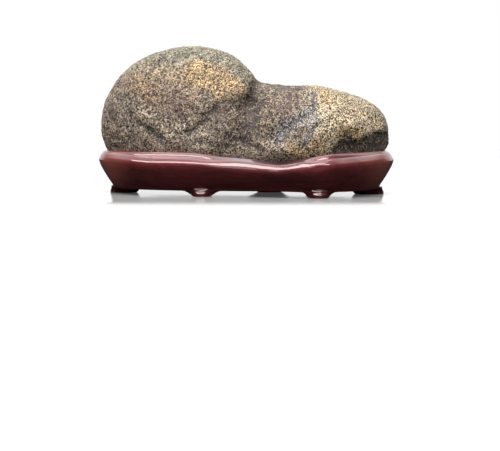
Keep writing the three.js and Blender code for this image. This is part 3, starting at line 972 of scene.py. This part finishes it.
def carving(material):
    """Sweeps the section round the outline, with feet, and fits its top to the stone's underside."""
    graph, given = new_tree("carved_stand", Section=None, Stone=None, gap=STONE_CLEARANCE * MM)

    def named(label, kind="FLOAT"):
        """A value that the ring or the section carries."""
        node = graph.tree.nodes.new("GeometryNodeInputNamedAttribute")
        node.data_type = kind
        node.inputs["Name"].default_value = label
        return node.outputs["Attribute"]

    position = graph.node("GeometryNodeInputPosition")
    kept = graph.stored(given["Geometry"], "place", position, "FLOAT_VECTOR")
    path = graph.node("GeometryNodeMeshToCurve", kept)
    section_info = graph.tree.nodes.new("GeometryNodeObjectInfo")
    graph.fill(section_info.inputs["Object"], given["Section"])
    profile = graph.node("GeometryNodeMeshToCurve", section_info.outputs["Geometry"])
    shell = graph.tree.nodes.new("GeometryNodeCurveToMesh")
    graph.fill(shell.inputs["Curve"], path)
    graph.fill(shell.inputs["Profile Curve"], profile)

    foot = graph.math("MULTIPLY", named("foot"), named("footed"))
    drawn = graph.blend(named("knob"), named("drawn"), named("knob_drawn"))
    depth = named("depth")
    start = named("place", "FLOAT_VECTOR")
    outward = graph.join(named("outward_x"), named("outward_y"))
    out = graph.blend(named("slope"), named("out"), named("slope_out"))
    plain = graph.vector("ADD", start, graph.scaled(outward, out))
    not_drawn = graph.math("SUBTRACT", 1.0, drawn)
    not_deep = graph.math("SUBTRACT", 1.0, depth)
    rounded = graph.math("MULTIPLY", named("rounding"), graph.math("MULTIPLY", not_drawn, not_deep))
    flared = graph.math("ADD", named("setback"), TOE_FLARE * MM)
    neck = graph.blend(named("knob"), flared, NECK_SETBACK * MM)
    back = graph.math("ADD", graph.blend(drawn, named("setback"), neck), rounded)
    toe = graph.vector("SUBTRACT", start, graph.scaled(outward, back))
    axis = graph.join(named("axis_x"), named("axis_y"))
    reach = graph.math("SUBTRACT", named("reach"), named("rounding"))
    toe = graph.vector("SUBTRACT", toe, graph.scaled(axis, graph.math("MULTIPLY", reach, depth)))
    place = graph.vector("ADD", plain, graph.scaled(graph.vector("SUBTRACT", toe, plain), foot))
    level = graph.blend(named("slope"), named("height"), named("slope_height"))
    high = graph.blend(foot, level, named("foot_height"))
    follows = graph.blend(named("slope"), named("follows"), named("slope_follows"))
    high = graph.math("SUBTRACT", high, graph.math("MULTIPLY", named("drop"), follows))
    high = graph.math("ADD", high, graph.math("MULTIPLY", named("lift"), named("end")))
    high = graph.math("MAXIMUM", high, 0.0)
    place = graph.scaled(place, graph.math("SUBTRACT", 1.0, named("inward")))
    x, y, _ = graph.split(place)
    y = graph.math("SMOOTH_MAX", y, STAND_LOW.y + FRONT_MARGIN, FRONT_SOFTNESS)

    stone_info = graph.tree.nodes.new("GeometryNodeObjectInfo")
    graph.fill(stone_info.inputs["Object"], given["Stone"])
    ray = graph.tree.nodes.new("GeometryNodeRaycast")
    graph.fill(ray.inputs["Target Geometry"], stone_info.outputs["Geometry"])
    graph.fill(ray.inputs["Source Position"], graph.join(x, y, LOOK_FROM))
    graph.fill(ray.inputs["Ray Direction"], (0.0, 0.0, 1.0))
    ray.inputs["Ray Length"].default_value = LOOK_DISTANCE
    under = graph.math("SUBTRACT", graph.split(ray.outputs["Hit Position"])[2], given["gap"])
    under = graph.math("MINIMUM", under, high)
    under = graph.blend(ray.outputs["Is Hit"], high, under)
    seated = graph.join(x, y, graph.blend(named("seat"), high, under))
    geometry = graph.node("GeometryNodeSetPosition", shell.outputs[0], None, seated)
    geometry = graph.node("GeometryNodeMergeByDistance", geometry, None, WELD_DISTANCE)
    end_tree(graph, geometry, material)
    return graph


WINE = (0.125, 0.020, 0.024)
BRIGHT_WINE = (0.165, 0.030, 0.032)
DARK_WINE = (0.05, 0.010, 0.011)
# The red of the painted warm bounce light at the stand's two ends.
PAINTED_BOUNCE_RED = (0.34, 0.098, 0.072)
DARK_BEVEL = (0.04, 0.03, 0.035)
# The wood's grain runs along the stand, and its marks are this much longer that way.
GRAIN_STRETCH = (0.07, 1.0, 1.0)
STREAK_SIZE = 2.2 * MM
PATCH_SIZE = 9 * MM
# Painted warm bounce light makes the lacquer redder at the two ends: from and to along the length, then
# none and the most of it.
PAINTED_BOUNCE_LEFT = (-0.092, -0.121, 0.0, 0.9)
PAINTED_BOUNCE_RIGHT = (0.088, 0.120, 0.0, 0.8)
# The painted bounce light fades towards the lip, and stops above the feet.
PAINTED_BOUNCE_BELOW_LIP = (0.034, 0.026, 0.25, 1.0)
PAINTED_BOUNCE_ABOVE_FEET = (0.005, 0.009)
PAINTED_BOUNCE_BRIGHTNESS = 1.45
DARK_BEVEL_SHARE = 0.7
# Painted shade: the lacquer is darker low on the wall, where it faces down, brightens up the wall, and dims
# again on the up-facing lip: from and to by height, and the two shades.
PAINTED_SHADE_UP_THE_WALL = (0.004, 0.027, 0.6, 1.3)
PAINTED_SHADE_AT_THE_LIP = (0.027, 0.034, 1.0, 0.85)


def lacquer():
    """Dark red lacquer over streaked wood, with painted warm bounce light at the ends, painted shade low on
    the wall and at the lip, and darker on the bevel.
    """
    material, graph, place, shader = new_material("dark_lacquered_wood")
    along = graph.node("ShaderNodeVectorMath", place, GRAIN_STRETCH, operation="MULTIPLY")
    streaks = graph.noise(along, STREAK_SIZE, 4.0, 0.6, 0.5)
    broad = graph.noise(along, PATCH_SIZE, 2.0, 0.5, 0.3, 0.2)
    colour = graph.colour(graph.ramp(streaks, 0.35, 0.65), WINE, BRIGHT_WINE)
    colour = graph.colour(graph.ramp(broad, 0.42, 0.66, 0.0, 0.5), colour, DARK_WINE)
    side, _, high = graph.split(place)
    # Painted warm bounce light at the two ends: redder, and brighter low on the wall.
    ends = graph.math("MAXIMUM", graph.ramp(side, *PAINTED_BOUNCE_LEFT), graph.ramp(side, *PAINTED_BOUNCE_RIGHT))
    ends = graph.math("MULTIPLY", ends, graph.ramp(high, *PAINTED_BOUNCE_BELOW_LIP))
    ends = graph.math("MULTIPLY", ends, graph.ramp(high, *PAINTED_BOUNCE_ABOVE_FEET))
    colour = graph.colour(ends, colour, PAINTED_BOUNCE_RED)
    # Darker where the lip dips and its bead gives way to a plain bevel.
    bevel = graph.math("MULTIPLY", attribute(graph, "bevel"), attribute(graph, "slope"))
    colour = graph.colour(graph.math("MULTIPLY", bevel, DARK_BEVEL_SHARE), colour, DARK_BEVEL)
    # Painted shade by height, low on the wall and at the lip; the ends take the brighter painted bounce
    # light instead.
    shade = graph.ramp(high, *PAINTED_SHADE_UP_THE_WALL)
    shade = graph.math("MULTIPLY", shade, graph.ramp(high, *PAINTED_SHADE_AT_THE_LIP))
    shade = graph.blend(ends, shade, PAINTED_BOUNCE_BRIGHTNESS)
    colour = graph.colour(1.0, colour, graph.grey(shade), mode="MULTIPLY")
    graph.fill(shader.inputs["Base Color"], colour)
    graph.fill(shader.inputs["Roughness"], graph.ramp(streaks, 0.3, 0.7, 0.44, 0.34))
    shader.inputs["Specular IOR Level"].default_value = 0.3
    shader.inputs["Specular Tint"].default_value = (1.0, 0.5, 0.5, 1.0)
    shader.inputs["Coat Weight"].default_value = 1.0
    shader.inputs["Coat Roughness"].default_value = 0.09
    shader.inputs["Coat IOR"].default_value = 1.5
    rough_to_touch(graph, shader, 0.12, 0.1 * MM, streaks)
    return material


def make_stand():
    """The stand, carved round the stone's outline, in place of the plain solid."""
    rows = section_rows()
    values = {}
    for index, label in enumerate(SECTION_LABELS):
        unit = MM if label in SECTION_LENGTHS else 1.0
        values[label] = [row[index] * unit for row in rows]
    section = strand("section", [(0.0, k * MM, 0.0) for k in range(len(rows))], False, **values)
    seat = merged_copy("stone", "seat_shape")
    stand = grow(make_ring(), carving(lacquer()), "carved_stand", Section=section, Stone=seat)
    bpy.data.objects.remove(section)
    bpy.data.objects.remove(seat)
    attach(stand, "root")
    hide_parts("stand")


# ---------------------------------------------------------------- the whole

bpy.context.scene.view_settings.view_transform = "Standard"
make_camera()
make_floor()
make_world()
make_lights()
make_stone()
make_stand()
